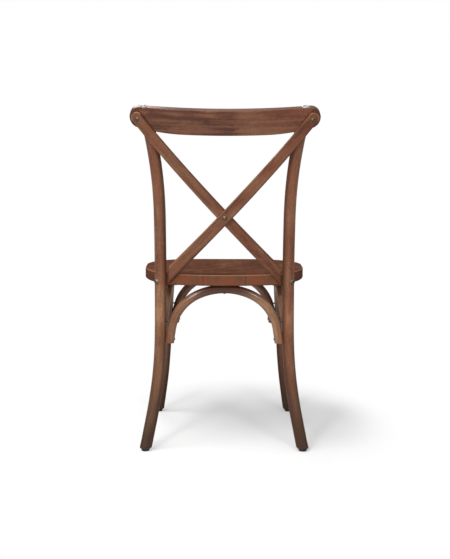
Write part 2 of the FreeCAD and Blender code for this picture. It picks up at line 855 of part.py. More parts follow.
def make_barrel_nut(name, bolt_place):
    """A cross dowel in the seat that the bolt screws into, and the pocket it is pushed up into."""
    half = dim("barrel_nut_length") / 2
    centre = bolt_place.multVec(Vector(0, 0, dim("seat_bolt_length") - dim("barrel_nut_diameter") / 2))
    top = Placement(centre + UP * half, Rotation(Vector(1, 0, 0), 180))
    blank = rod(name + "_blank", "sizes.barrel_nut_diameter / 2", "sizes.barrel_nut_length", top)
    thread = drilling(
        name + "_thread", bolt_place, dim("seat_bolt_diameter"), 2 * dim("seat_bolt_length")
    )
    keep(name, cut_away(name, blank, [thread]))
    return rod(
        name + "_pocket", "sizes.barrel_nut_diameter / 2 + sizes.hole_clearance",
        "sizes.barrel_nut_length + sizes.seat_thickness", top,
    )


def make_cross_bolt(outer, inner):
    """The bolt and cap nut where the slats cross, and the drilling and flats that they need."""
    half = dim("slat_thickness") / 2
    frame = outer.crossing()
    outward = frame.Rotation.multVec(Vector(0, 1, 0))
    outward = Vector(0, outward.y, outward.z).normalize()
    stack = 2 * half + (frame.Base - inner.crossing().Base).dot(outward)
    grip = dim("cross_nut_height") - dim("cross_nut_wall")
    head_spot = frame.Base + outward * half
    bolt_place = along(head_spot, outward * -1)
    bolt = fastener("cross_bolt", stack + grip, "cross", pointed=False)
    keep("cross_bolt", held_shape("cross_bolt", placed(bolt, bolt_place)))
    radius = dim("cross_nut_diameter") / 2
    height = dim("cross_nut_height")
    edges = [
        dome_profile(radius, height),
        Part.makeLine(Vector(radius, 0, 0), Vector()),
        Part.makeLine(Vector(), Vector(0, 0, -height)),
    ]
    bore = Part.makeCylinder(dim("cross_bolt_diameter") / 2 + GAP, grip + GAP)
    bore.rotate(Vector(), Vector(1, 0, 0), 180)
    nut = revolved(edges).cut(bore)
    nut_place = along(head_spot - outward * stack, outward)
    keep("cross_cap_nut", held_shape("cross_cap_nut", placed(nut, nut_place)))
    hole = Part.makeCylinder(dim("cross_bolt_diameter") / 2 + GAP, stack + grip)
    head_height = dim("cross_bolt_head_height")
    head_seat = Part.makeCylinder(
        dim("cross_bolt_head") / 2 + GAP, head_height, Vector(0, 0, -head_height)
    )
    nut_seat = Part.makeCylinder(radius + GAP, height, Vector(0, 0, stack))
    tool = hole.fuse([head_seat, nut_seat])
    return held_shape("cross_bolt_drilling", placed(tool, bolt_place))


def make_slat_dowels(slats):
    """The hidden dowels between the feet of the slats and the seat's rear edge, and their holes."""
    diameter = dim("slat_dowel_diameter")
    length = dim("slat_dowel_in_slat") + dim("slat_seat_gap") + dim("slat_dowel_in_seat")
    places = {}
    for name, slat in slats.items():
        normal = slat.frame(1).Rotation.multVec(Vector(0, 1, 0))
        x = -slat.side * dim("slat_dowel_half_span")
        y = slat.foot.y - normal.x * (x - slat.foot.x) / normal.y
        start = dim("slat_dowel_in_slat") - dim("slat_thickness") / 2
        spot = Vector(x, y, slat.foot.z) + normal * start
        places[name] = along(spot, normal * -1)
    dowel = Part.makeCylinder(diameter / 2, length)
    pair = Part.makeCompound([placed(dowel, place) for place in places.values()])
    keep("slat_dowels", held_shape("slat_dowels", pair))
    return {
        name: drilling("slat_dowel_drilling_" + name, place, diameter, length)
        for name, place in places.items()
    }


# Arches

class Arch:
    """One bent arch: its frame has the crown of the centre line at the origin and Z up."""

    def __init__(self, end_a, end_b, crown, radii):
        span = (end_b - end_a).normalize()
        rise = crown - (end_a + end_b) * 0.5
        up = (rise - span * rise.dot(span)).normalize()
        self.place = Placement(crown, Rotation(span, up.cross(span), up, "ZXY"))
        low = self.place.inverse().multVec(end_a)
        self.rise = -low.z
        self.half_span = -low.x - sum(radii) / 2 - ARCH_RADIUS + dim("arch_leg_bite")
        lean = math.radians(dim("arch_lean_angle"))
        crown_turn = math.radians(dim("arch_crown_half_angle"))
        shoulder = dim("arch_shoulder_radius")
        drop = self.rise - shoulder * (1 - math.sin(lean))
        needed = self.half_span - shoulder * math.cos(lean) - drop * math.tan(lean)
        extra = needed / (math.sin(crown_turn) - (1 - math.cos(crown_turn)) * math.tan(lean))
        self.crown_radius = shoulder + extra
        self.shoulder_centre = (
            extra * math.sin(crown_turn), extra * math.cos(crown_turn) - self.crown_radius
        )

    def make_rod(self, name):
        """The bent rod, a little long at both ends."""
        lean = dim("arch_lean_angle")
        turn = dim("arch_crown_half_angle")
        radius = dim("arch_shoulder_radius")
        x, z = self.shoulder_centre
        knee = polar((x, z), radius, lean)
        end_z = -self.rise - dim("arch_diameter")
        end = (knee[0] + (knee[1] - end_z) * slope("arch_lean_angle"), end_z)
        body = new_body(name + "_rod", self.place)
        path = sketch_on(body, "XZ_Plane", name + "_path")
        draw(path, [
            line((-end[0], end[1]), (-knee[0], knee[1])),
            sweep_arc((-x, z), radius, 180 - lean, 90 + turn),
            sweep_arc((0, -self.crown_radius), self.crown_radius, 90 + turn, 90 - turn),
            sweep_arc((x, z), radius, 90 - turn, lean),
            line(knee, end),
        ])
        tie_radius(path, 1, radius, "sizes.arch_shoulder_radius")
        start = Vector(-end[0], 0, end[1])
        section = sketch_at(
            body, name + "_section", along(start, Vector(-knee[0], 0, knee[1]) - start)
        )
        draw_disc(section, dim("arch_diameter"), "sizes.arch_diameter")
        pipe = body.newObject("PartDesign::AdditivePipe", name + "_pipe")
        pipe.Profile = section
        pipe.Spine = (path, ["Edge%d" % number for number in range(1, 6)])
        return body

    def end_block(self, name):
        """A block that squares off both lower ends."""
        reach = 2 * self.half_span
        feature = block(name + "_end_block", Vector(), Vector(2 * reach, reach, reach))
        corner = Placement(Vector(-reach, -reach / 2, -self.rise - reach), Rotation())
        feature.Placement = self.place.multiply(corner)
        return feature

    def inner_x(self, above):
        """The inner side of the arch at a height above its end."""
        lean = math.radians(dim("arch_lean_angle"))
        z = above - self.rise
        x, centre_z = self.shoulder_centre
        knee_z = centre_z + dim("arch_shoulder_radius") * math.sin(lean)
        if z > knee_z:
            inner = dim("arch_shoulder_radius") - ARCH_RADIUS
            return x + math.sqrt(inner ** 2 - (z - centre_z) ** 2)
        return self.half_span - above * math.tan(lean) - ARCH_RADIUS / math.cos(lean)

    def end_screws(self, shift):
        """Places of the screws through each end of the arch into its leg."""
        places = []
        for level in ("arch_screw_low", "arch_screw_high"):
            above = dim(level) + shift
            x = self.inner_x(above) + dim("arch_screw_sink")
            for sign in (1, -1):
                start = self.place.multVec(Vector(sign * x, 0, above - self.rise))
                outward = self.place.Rotation.multVec(Vector(sign, 0, 0))
                places.append(along(start, outward))
        return places

    def crown_screw(self):
        """Place of the screw up through the crown into the seat."""
        start = self.place.multVec(Vector(0, 0, dim("arch_screw_sink") - ARCH_RADIUS))
        return along(start, self.place.Rotation.multVec(UP))


def make_arch_lines():
    """The four arches, each between two legs at one height and up to the seat's underside."""
    low = dim("arch_end_height")
    crown_z = SEAT_UNDER - ARCH_RADIUS + dim("arch_seat_bite")
    posts = {side: post_point(sign, low) for side, sign in SIDES.items()}
    legs = {side: leg_point(sign, low) for side, sign in SIDES.items()}
    rear_crown = Vector(0, POST_Y, crown_z)
    front_crown = Vector(0, LEG_Y, crown_z)
    arches = {
        "rear": Arch(posts["right"], posts["left"], rear_crown, (POST_RADIUS, POST_RADIUS)),
        "front": Arch(legs["left"], legs["right"], front_crown, (LEG_RADIUS, LEG_RADIUS)),
    }
    for side, sign in SIDES.items():
        middle = (posts[side] + legs[side]) * 0.5
        crown = Vector(middle.x - sign * dim("side_arch_inset"), middle.y, crown_z)
        arches[side] = Arch(posts[side], legs[side], crown, (POST_RADIUS, LEG_RADIUS))
    return arches


# Corner brackets

class Bracket:
    """A steel corner bracket. In its own frame it reaches along +X and +Y from the leg's axis."""

    def __init__(self, centre, quarter_turns, leg_radius, leg_size):
        self.place = Placement(
            Vector(centre.x, centre.y, SEAT_UNDER), Rotation(UP, 90 * quarter_turns)
        )
        self.inner = leg_radius + dim("bracket_fit")
        self.outer = self.inner + dim("bracket_plate")
        self.bore = leg_size + " + 2 * sizes.bracket_fit"

    def make(self, name):
        """A flat plate under the seat with a curved flange that wraps the leg."""
        near = dim("bracket_setback")
        reach = dim("bracket_reach")
        corner = dim("bracket_corner")
        overhang = dim("bracket_flange_overhang")
        first, last = -overhang, 90 + overhang
        body = new_body(name + "_blank", self.place)
        plate = sketch_on(body, "XY_Plane", name + "_plate")
        draw(plate, [
            line((near, near), (reach, near)),
            line((reach, near), (reach, reach - corner)),
            sweep_arc((reach - corner, reach - corner), corner, 0, 90),
            line((reach - corner, reach), (near, reach)),
            line((near, reach), (near, near)),
        ])
        tie_radius(plate, 2, corner, "sizes.bracket_corner")
        pad(body, plate, "sizes.bracket_plate", downwards=True)
        doc.recompute()
        flange = sketch_on(body, "XY_Plane", name + "_flange")
        core = self.inner / 2
        draw(flange, [
            sweep_arc((0, 0), self.outer, first, last),
            line(polar((0, 0), self.outer, last), polar((0, 0), core, last)),
            sweep_arc((0, 0), core, last, first),
            line(polar((0, 0), core, first), polar((0, 0), self.outer, first)),
        ])
        tie_radius(flange, 0, self.outer, "(%s) / 2 + sizes.bracket_plate" % self.bore)
        pad(body, flange, "sizes.bracket_flange", downwards=True)
        doc.recompute()
        bore = sketch_on(body, "XY_Plane", name + "_bore")
        draw_disc(bore, 2 * self.inner, self.bore)
        pocket_through(body, bore, "4 * sizes.bracket_flange")
        return body

    def screw_places(self):
        """Two screws up into the seat and one through the flange into the leg."""
        edge = dim("bracket_screw_inset")
        far = dim("bracket_reach") - edge
        level = -dim("bracket_plate")
        places = [
            along(self.place.multVec(Vector(x, y, level)), UP) for x, y in ((far, edge), (edge, far))
        ]
        diagonal = Vector(1, 1, 0).normalize()
        height = -(dim("bracket_flange") + dim("bracket_plate")) / 2
        start = self.place.multVec(diagonal * self.outer + UP * height)
        places.append(along(start, self.place.Rotation.multVec(diagonal * -1)))
        return places


# Feet and trim

def make_glide(name, foot):
    """A round glide under a foot, with a chamfered rim."""
    body = new_body(name + "_disc", Placement(Vector(foot.x, foot.y, 0), Rotation()))
    sketch = sketch_on(body, "XY_Plane", name + "_sketch")
    draw_disc(sketch, dim("glide_diameter"), "sizes.glide_diameter")
    disc = pad(body, sketch, "sizes.glide_thickness")
    doc.recompute()
    rim = body.newObject("PartDesign::Chamfer", name + "_rim")
    rim.Base = (disc, edges_at_level(disc.Shape, 0))
    rim.setExpression("Size", "sizes.glide_chamfer")
    return body


def nail_shape(clearance):
    """A glide's nail, or the stepped hole it fills, with its head sunk in the glide."""
    head_low = -dim("glide_thickness") if clearance else dim("glide_nail_recess")
    head_top = dim("glide_nail_recess") + dim("glide_nail_head_height")
    head = Part.makeCylinder(
        dim("glide_nail_head") / 2 + clearance, head_top - head_low, Vector(0, 0, head_low)
    )
    shank = Part.makeCylinder(
        dim("glide_nail_diameter") / 2 + clearance, dim("glide_nail_length") + clearance,
        Vector(0, 0, head_top),
    )
    return head.fuse(shank).removeSplitter()


def foot_sleeve(foot):
    """What is turned off a foot so that it tapers down to its glide."""
    tall = 2 * dim("post_diameter")
    tip = dim("foot_tip_diameter") / 2
    wide = tip + tall * slope("foot_taper_angle")
    base = Vector(foot.x, foot.y, dim("glide_thickness"))
    return Part.makeCylinder(2 * wide, tall, base).cut(Part.makeCone(tip, wide, tall, base))


def make_bumper(name, place):
    """A clear domed bumper on the crest rail's top edge."""
    radius = dim("bumper_diameter") / 2
    height = dim("bumper_height")
    ball = (radius * radius + height * height) / (2 * height)
    rim = math.degrees(math.asin((ball - height) / ball))
    body = new_body(name, place)
    sketch = sketch_on(body, "XZ_Plane", name + "_profile")
    draw(sketch, [
        line((0, 0), (radius, 0)),
        sweep_arc((0, height - ball), ball, rim, 90),
        line((0, height), (0, 0)),
    ])
    base = Sketcher.Constraint("DistanceX", 0, 1, 0, 2, radius)
    tie(sketch, base, "sizes.bumper_diameter / 2")
    dome = body.newObject("PartDesign::Revolution", name + "_dome")
    dome.Profile = sketch
    dome.ReferenceAxis = (sketch, ["V_Axis"])
    dome.Angle = 360
    keep(name, body)


# Assembly

def build():
    """Make every piece of the chair, and drill and relieve the pieces where others pass."""
    lift = dim("slat_thickness") / 2
    slats = {"outer": SlatLine(-1, lift), "inner": SlatLine(1, -lift)}
    strips = {name: make_slat_strip("slat_" + name, slat) for name, slat in slats.items()}
    crest_outline = make_crest_outline()
    crest_board = make_crest_board(crest_outline)
    arches = make_arch_lines()
    panel = make_seat_panel()
    brackets = {}
    for side, sign in SIDES.items():
        post = post_point(sign, SEAT_UNDER)
        leg = leg_point(sign, SEAT_UNDER)
        rear_turns = 2 if sign > 0 else 3
        front_turns = 1 if sign > 0 else 0
        brackets["rear_" + side] = Bracket(post, rear_turns, POST_RADIUS, "sizes.post_diameter")
        brackets["front_" + side] = Bracket(leg, front_turns, LEG_RADIUS, "sizes.leg_diameter")

    # fasteners and the drillings they need
    slat_screws = {}
    for name, slat in slats.items():
        frame = slat.frame(0, dim("slat_screw_below_end"))
        outward = frame.Rotation.multVec(Vector(0, 1, 0))
        start = frame.Base + outward * (dim("slat_thickness") / 2)
        slat_screws[name] = [along(start, outward * -1)]
    slat_screw_holes = screw_set("slat_top_screws", "slat_screw", slat_screws, drive="hexagon")
    cross_hole = make_cross_bolt(slats["outer"], slats["inner"])
    dowel_holes = make_slat_dowels(slats)
    end_screws = {}
    crown_screws = {}
    for name, arch in arches.items():
        end_screws[name] = arch.end_screws(dim("arch_screw_stagger") if name in SIDES else 0)
        crown_screws[name] = [arch.crown_screw()]
    end_screw_holes = screw_set("arch_end_screws", "arch_screw", end_screws)
    crown_screw_holes = screw_set("arch_crown_screws", "arch_screw", crown_screws)
    bracket_screws = {name: bracket.screw_places() for name, bracket in brackets.items()}
    bracket_screw_holes = screw_set("bracket_screws", "bracket_screw", bracket_screws)
    bolt_holes = {}
    nut_pockets = {}
    for side, sign in SIDES.items():
        place = seat_bolt_place(sign)
        bolt_holes[side] = make_seat_bolt("seat_bolt_" + side, place)
        nut_pockets[side] = make_barrel_nut("barrel_nut_" + side, place)

    # feet
    feet = {}
    for side, sign in SIDES.items():
        feet["rear_" + side] = post_point(sign, dim("glide_thickness"))
        feet["front_" + side] = leg_point(sign, dim("glide_thickness"))
    nails = []
    nail_holes = {}
    for name, foot in feet.items():
        spot = Placement(Vector(foot.x, foot.y, 0), Rotation())
        nails.append(placed(nail_shape(0), spot))
        nail_holes[name] = held_shape("nail_drilling_" + name, placed(nail_shape(GAP), spot))
        glide = make_glide("glide_" + name, foot)
        keep("foot_glide_" + name, cut_away("foot_glide_" + name, glide, [nail_holes[name]]))
    keep("glide_nails", held_shape("glide_nails", Part.makeCompound(nails)))

    # legs
    under_floor = block(
        "under_glides", Vector(-FAR, -FAR, -FAR), Vector(FAR, FAR, dim("glide_thickness"))
    )
    seat_space = block("seat_space", Vector(-FAR, -FAR, SEAT_UNDER), Vector(FAR, FAR, FAR))
    rods = {}
    tenon_bores = []
    crest_bores = []
    for side, sign in SIDES.items():
        sleeve = held_shape("rear_sleeve_" + side, foot_sleeve(feet["rear_" + side]))
        heights = evenly(BELOW_FLOOR, SEAT_UNDER, 7)
        heights += evenly(SEAT_TOP, dim("crest_shoulder_height") + POST_RADIUS, 7)
        points = [post_point(sign, height) for height in heights]
        rods["post_" + side] = bent_rod("post_rod_" + side, points, "sizes.post_diameter / 2")
        shoulder = post_point(sign, dim("crest_shoulder_height"))
        tenon_place = crest_frame(shoulder.x, 0, -dim("crest_drop"))
        tenon_length = "sizes.post_tenon_length + sizes.crest_drop"
        tenon = rod("post_tenon_" + side, "sizes.post_tenon_diameter / 2", tenon_length, tenon_place)
        bore = rod(
            "post_tenon_bore_" + side, "sizes.post_tenon_diameter / 2 + sizes.hole_clearance",
            tenon_length + " + sizes.hole_clearance", tenon_place,
        )
        crest_bores.append(bore)
        trimmed = cut_away(
            "post_trimmed_" + side, rods["post_" + side], [under_floor, sleeve, crest_outline]
        )
        post = joined("post_joined_" + side, trimmed, tenon)
        tools = [strips["outer"], strips["inner"], bolt_holes[side]]
        tools += [bracket_screw_holes["rear_" + side], nail_holes["rear_" + side]]
        tools += [end_screw_holes["rear"], end_screw_holes[side]]
        keep("rear_post_" + side, cut_away("rear_post_" + side, post, tools))

        sleeve = held_shape("front_sleeve_" + side, foot_sleeve(feet["front_" + side]))
        heights = evenly(BELOW_FLOOR, SEAT_UNDER + LEG_RADIUS, 7)
        points = [leg_point(sign, height) for height in heights]
        rods["leg_" + side] = bent_rod("leg_rod_" + side, points, "sizes.leg_diameter / 2")
        root = leg_point(sign, SEAT_UNDER)
        root_place = Placement(root - UP * LEG_RADIUS, Rotation())
        tenon_length = "sizes.leg_tenon_length + sizes.leg_diameter / 2"
        tenon = rod("leg_tenon_" + side, "sizes.leg_tenon_diameter / 2", tenon_length, root_place)
        bore = rod(
            "leg_tenon_bore_" + side, "sizes.leg_tenon_diameter / 2 + sizes.hole_clearance",
            tenon_length + " + sizes.hole_clearance", root_place,
        )
        tenon_bores.append(bore)
        trimmed = cut_away(
            "leg_trimmed_" + side, rods["leg_" + side], [under_floor, sleeve, seat_space]
        )
        leg = joined("leg_joined_" + side, trimmed, tenon)
        tools = [bracket_screw_holes["front_" + side], nail_holes["front_" + side]]
        tools += [end_screw_holes["front"], end_screw_holes[side]]
        keep("front_leg_" + side, cut_away("front_leg_" + side, leg, tools))

    # crest rail and slats
    crest_tools = list(strips.values()) + list(slat_screw_holes.values()) + crest_bores
    keep("crest_rail", cut_away("crest_rail", crest_board, crest_tools))
    for name, strip in strips.items():
        label = "cross_slat_" + name
        tools = [panel, slat_screw_holes[name], cross_hole, dowel_holes[name]]
        if name == "inner":
            tools.insert(0, strips["outer"])
        keep(label, cut_away(label, strip, tools))
    for side, sign in SIDES.items():
        make_bumper("crest_bumper_" + side, crest_frame(sign * dim("bumper_half_span"), 0, CREST_TOP))

    # arches
    arch_ends = {
        "rear": ("post_left", "post_right"),
        "front": ("leg_left", "leg_right"),
        "left": ("post_left", "leg_left"),
        "right": ("post_right", "leg_right"),
    }
    for name, arch in arches.items():
        label = "arch_" + name
        tools = [arch.end_block(label), seat_space] + [rods[end] for end in arch_ends[name]]
        tools += [end_screw_holes[name], crown_screw_holes[name]]
        keep(label, cut_away(label, arch.make_rod(label), tools))

    # brackets
    for name, bracket in brackets.items():
        label = "corner_bracket_" + name
        keep(label, cut_away(label, bracket.make(label), [bracket_screw_holes[name]]))

    # seat
    notches = []
    for side, sign in SIDES.items():
        low = post_point(sign, SEAT_UNDER) - UP * POST_RADIUS
        notches.append(rod(
            "post_notch_" + side, "sizes.post_diameter / 2 + sizes.post_notch_clearance",
            "sizes.seat_thickness + 2 * sizes.post_diameter", Placement(low, Rotation()),
        ))
    seat_tools = [make_dish()] + notches + tenon_bores + list(nut_pockets.values())
    for holes in (bolt_holes, bracket_screw_holes, crown_screw_holes, dowel_holes):
        seat_tools += holes.values()
    make_seat_boards(cut_away("seat_drilled", panel, seat_tools))


def check_and_write():
    """Stop if anything failed, then write each piece to its own file."""
    doc.recompute()
    for item in doc.Objects:
        if "Invalid" in item.State or "Error" in item.State:
            raise RuntimeError("%s failed: %s" % (item.Label, item.State))
    for name, feature in nodes.items():
        shape = feature.Shape
        if shape.isNull() or not shape.isValid() or not shape.Solids:
            raise RuntimeError("%s has no valid shape" % name)
    os.makedirs("parts", exist_ok=True)
    for name, feature in nodes.items():
        shape = feature.Shape
        shape.exportStep("parts/%s.step" % name)
        print("%-28s %2d solids %9.0f mm3" % (name, len(shape.Solids), shape.Volume))


build()
check_and_write()
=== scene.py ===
import math

import bpy
from mathutils import Matrix, Vector

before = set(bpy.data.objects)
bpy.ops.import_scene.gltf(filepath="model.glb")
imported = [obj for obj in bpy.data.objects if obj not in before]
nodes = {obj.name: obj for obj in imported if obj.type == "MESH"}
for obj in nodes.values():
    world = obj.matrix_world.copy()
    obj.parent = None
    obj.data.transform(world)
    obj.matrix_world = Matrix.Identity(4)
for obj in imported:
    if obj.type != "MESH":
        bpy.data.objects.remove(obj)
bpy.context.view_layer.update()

# All sizes are in metres and all angles in degrees.
# X points to the sitter's left, Y to the back and Z upwards.

# Stain colours, from the lightest fibres to the darkest streaks. TAN also paints highlights and DARK
# also paints shade.
TAN = (0.330, 0.176, 0.094)
OLIVE = (0.208, 0.105, 0.056)
BROWN = (0.168, 0.072, 0.040)
RED = (0.200, 0.060, 0.031)
DARK = (0.068, 0.026, 0.016)
# Tint of the posts and legs towards the floor
LOWER_TINT = (0.044, 0.025, 0.0165)
# The deepest painted shade, under the seat
DEEP_SHADE = (0.016, 0.007, 0.005)

# Seat
SEAT_UNDERSIDE = 0.423
SEAT_TOP = 0.452
BOARD_WIDTH = 0.112

# Rear posts: where they stand at the seat, and how they bend outwards and backwards
POST_X = 0.168
POST_Y = 0.1094
POST_FLARE_LOW = 0.292
POST_FLARE_HIGH = 0.612
POST_FLARE_LENGTH = 0.210
POST_FLARE_ANGLE = 11.3
POST_RAKE_LENGTH = 0.300
POST_RAKE_ANGLE = 18.1
POST_LEAN_LENGTH = 0.118
POST_LEAN_ANGLE = 16.6

# Front legs: where they meet the seat, the angles of their splay, and the flare of their
# lower ends
LEG_X = 0.1572
LEG_Y = -0.2166
LEG_SPLAY_OUT = 3.1
LEG_SPLAY_AHEAD = 1.7
LEG_FLARE_HEIGHT = 0.192
LEG_FLARE_LENGTH = 0.130
LEG_FLARE_OUT = 5.6
LEG_FLARE_AHEAD = 7.0

# Arches: the middle line of their crowns, and where the side arches stand
ARCH_TOP = 0.4128
SIDE_ARCH_X = 0.1509
SIDE_ARCH_Y = -0.0496

# Crest rail: where its own axes start, the radius of its bow, and its lower edge in its own axes
CREST_Y = 0.2348
CREST_Z = 0.8264
CREST_BOW_RADIUS = 0.730
CREST_LOWER_EDGE = -0.0107

# Slats: cubic curves fitted to their middle lines, the cosine of their slant,
# and the middle and direction of their round top ends
SLAT_MIDDLE = 0.650
SLAT_SIDEWAYS = (-0.172, -0.2045, 0.9075, 0.0421)
SLAT_BACKWARDS = (-0.972, -0.428, 0.3207, 0.1814)
SLAT_HALF_THICKNESS = 0.0045
SLAT_SLANT = 0.74
SLAT_TOP_X = 0.2205
SLAT_TOP_Z = 0.8581
SLAT_TOP_ANGLE = 38.66


# Camera and lamps

def place_camera():
    """The camera stands behind the chair, a little lower than its top, and looks slightly down."""
    lens = bpy.data.cameras.new("camera")
    lens.sensor_width = 36
    lens.lens = 76.8
    camera = bpy.data.objects.new("camera", lens)
    bpy.context.scene.collection.objects.link(camera)
    stand = Matrix.Translation(Vector((0.015, 3.2214, 0.832)))
    heading = Matrix.Rotation(math.pi - 0.00525, 4, "Z")
    tilt = Matrix.Rotation(math.radians(90 - 7.22), 4, "X")
    roll = Matrix.Rotation(math.radians(0.18), 4, "Z")
    camera.matrix_world = stand @ heading @ tilt @ roll
    bpy.context.scene.camera = camera


def place_lamp(name, spot, aim, size, power):
    """A square softbox that shines from a spot towards a point."""
    light = bpy.data.lights.new(name, "AREA")
    light.shape = "SQUARE"
    light.size = size
    light.energy = power
    lamp = bpy.data.objects.new(name, light)
    bpy.context.scene.collection.objects.link(lamp)
    lamp.location = spot
    lamp.rotation_euler = (Vector(aim) - Vector(spot)).to_track_quat("-Z", "Y").to_euler()


# Shader sockets that can be used in sums

class Value:
    """A shader socket. A sum on it adds Math nodes to its tree."""

    def __init__(self, tree, socket=None):
        self.tree = tree
        self.socket = socket

    def node(self, kind, inputs=None, output=0, stops=(), **settings):
        """Add a node, set it up, fill its inputs, and give one of its outputs."""
        node = self.tree.nodes.new("ShaderNode" + kind)
        for name, value in settings.items():
            setattr(node, name, value)
        for number, (position, colour) in enumerate(stops):
            if number >= len(node.color_ramp.elements):
                node.color_ramp.elements.new(position)
            node.color_ramp.elements[number].position = position
            node.color_ramp.elements[number].color = (*colour, 1)
        for name, value in (inputs or {}).items():
            if isinstance(value, Value):
                self.tree.links.new(value.socket, node.inputs[name])
            else:
                node.inputs[name].default_value = value
        return Value(self.tree, node.outputs[output] if node.outputs else None)

    def sum(self, operation, *others):
        """A Math node of this value and others."""
        return self.node("Math", dict(enumerate((self,) + others)), operation=operation)

    def __add__(self, other):
        return self.sum("ADD", other)

    def __sub__(self, other):
        return self.sum("SUBTRACT", other)

    def __rsub__(self, other):
        return self * -1 + other

    def __mul__(self, other):
        return self.sum("MULTIPLY", other)

    def __truediv__(self, other):
        return self.sum("DIVIDE", other)

    def __abs__(self):
        return self.sum("ABSOLUTE")

    __radd__ = __add__
    __rmul__ = __mul__

    def most(self, other):
        return self.sum("MAXIMUM", other)

    def least(self, other):
        return self.sum("MINIMUM", other)

    def root(self):
        return self.sum("SQRT")

    def sign(self):
        return self.sum("SIGN")

    def step(self, low, high):
        """0 below low and 1 above high, with a soft step between them."""
        inputs = {"Value": self, "From Min": low, "From Max": high}
        return self.node("MapRange", inputs, interpolation_type="SMOOTHSTEP")

    def mix(self, first, second):
        """A colour that goes from first to second as this value goes from 0 to 1."""
        first, second = [
            colour if isinstance(colour, Value) else (*colour, 1) for colour in (first, second)
        ]
        return self.node("Mix", {0: self, 6: first, 7: second}, output=2, data_type="RGBA")


def parts_of(vector):
    """The three parts of a vector."""
    return [vector.node("SeparateXYZ", {0: vector}, output=part) for part in range(3)]


def vector_of(x, y, z):
    """A vector from three values."""
    return x.node("CombineXYZ", {0: x, 1: y, 2: z})


def distance(out, up):
    """The distance of a point from the middle of a plane."""
    return (out * out + up * up).root()


def noise(vector, detail=2.0, rough=0.5):
    """Soft noise between 0 and 1, with one lump to each unit of the vector."""
    inputs = {"Vector": vector, "Scale": 1.0, "Detail": detail, "Roughness": rough}
    return vector.node("TexNoise", inputs)


def lumps(axes, crosswise, lengthwise, detail=2.0, rough=0.5):
    """Soft noise with so many lumps to a metre across a piece, and so many along its third axis."""
    across, through, along = axes
    vector = vector_of(across * crosswise, through * crosswise, along * lengthwise)
    return noise(vector, detail, rough)


class Finish:
    """A material in the making."""

    def __init__(self, name):
        self.material = bpy.data.materials.new(name)
        self.material.use_nodes = True
        self.material.node_tree.nodes.clear()
        self.start = Value(self.material.node_tree)
        self.place = self.start.node("TexCoord", output="Object")
        self.facing = self.start.node("TexCoord", output="Normal")

    def close(self, bump=None, depth=0.0001, **inputs):
        """End the material in one surface."""
        inputs = {name.replace("_", " "): value for name, value in inputs.items()}
        if bump is not None:
            inputs["Normal"] = self.start.node("Bump", {"Height": bump, "Distance": depth})
        surface = self.start.node("BsdfPrincipled", inputs)
        self.start.node("OutputMaterial", {"Surface": surface})
        return self.material


# Grain. Each piece has its own axes: across, through and along its fibres.
# A left and a right piece, and each board, are shifted to a place of their own in the noise.

def slope(angle):
    """Sideways travel for each metre of a run."""
    return math.tan(math.radians(angle))


def bend(run, length, angle):
    """Sideways travel of a rod that bends evenly over a length, and then runs on straight."""
    run = run.most(0)
    inside = run.least(length)
    return (inside * inside / (2 * length) + (run - length).most(0)) * slope(angle)


def leaning(out, up, angle):
    """Distances through and along a piece whose upper end leans outwards or backwards."""
    cosine = math.cos(math.radians(angle))
    sine = math.sin(math.radians(angle))
    return out * cosine - up * sine, up * cosine + out * sine


def cubic(value, third, second, first, start):
    """A cubic curve of a value."""
    return ((value * third + second) * value + first) * value + start


def post_grain(x, y, z):
    """Fibres that follow a bent rear post."""
    low = bend(POST_FLARE_LOW - z, POST_FLARE_LENGTH, POST_FLARE_ANGLE)
    high = bend(z - POST_FLARE_HIGH, POST_FLARE_LENGTH, POST_FLARE_ANGLE)
    rake = bend(SEAT_UNDERSIDE - z, POST_RAKE_LENGTH, POST_RAKE_ANGLE)
    lean = bend(z - SEAT_TOP, POST_LEAN_LENGTH, POST_LEAN_ANGLE)
    return abs(x) - POST_X - (low + high), y - POST_Y - (rake + lean), z + x.sign() * 3.7


def leg_grain(x, y, z):
    """Fibres that follow a flared front leg."""
    drop = SEAT_UNDERSIDE - z
    flare = LEG_FLARE_HEIGHT - z
    out = drop * slope(LEG_SPLAY_OUT) + bend(flare, LEG_FLARE_LENGTH, LEG_FLARE_OUT)
    ahead = drop * slope(LEG_SPLAY_AHEAD) + bend(flare, LEG_FLARE_LENGTH, LEG_FLARE_AHEAD)
    return abs(x) - LEG_X - out, y - LEG_Y + ahead, z + x.sign() * 5.1


def arch_grain(span, back, z, lean, drop, radius):
    """Fibres that run up one side of a leaning arch, over its crown and down the other side.

    Span runs from one foot to the other. Drop is how far the middle of the bend lies below
    the crown. The curve is an ellipse as high as the drop and as wide as the radius."""
    through, height = leaning(back, z - ARCH_TOP, lean)
    rise = (height + drop).most(0) * (radius / drop)
    turn = span.sum("ARCTAN2", rise + 0.0001)
    along = turn * radius + span.sign() * (-drop - height).most(0)
    return distance(span, rise) - radius, through, along


def rear_arch_grain(x, y, z):
    """Fibres of the rear arch."""
    return arch_grain(x, y - POST_Y, z, lean=-5.1, drop=0.125, radius=0.141)


def front_arch_grain(x, y, z):
    """Fibres of the front arch."""
    return arch_grain(x, y - LEG_Y, z, lean=1.8, drop=0.1246, radius=0.1386)


def side_arch_grain(x, y, z):
    """Fibres of the side arches."""
    across, through, along = arch_grain(
        y - SIDE_ARCH_Y, abs(x) - SIDE_ARCH_X, z, lean=-6.4, drop=0.124, radius=0.1357
    )
    return across, through, along + x.sign() * 2.3


def crest_axes(y, z):
    """Distances backwards and upwards in the crest rail's own leaning axes."""
    return leaning(y - CREST_Y, z - CREST_Z, POST_LEAN_ANGLE)


def crest_grain(x, y, z):
    """Fibres along the bowed crest rail, which leans back with the posts."""
    behind, height = crest_axes(y, z)
    return height, behind + x * x / (2 * CREST_BOW_RADIUS), x


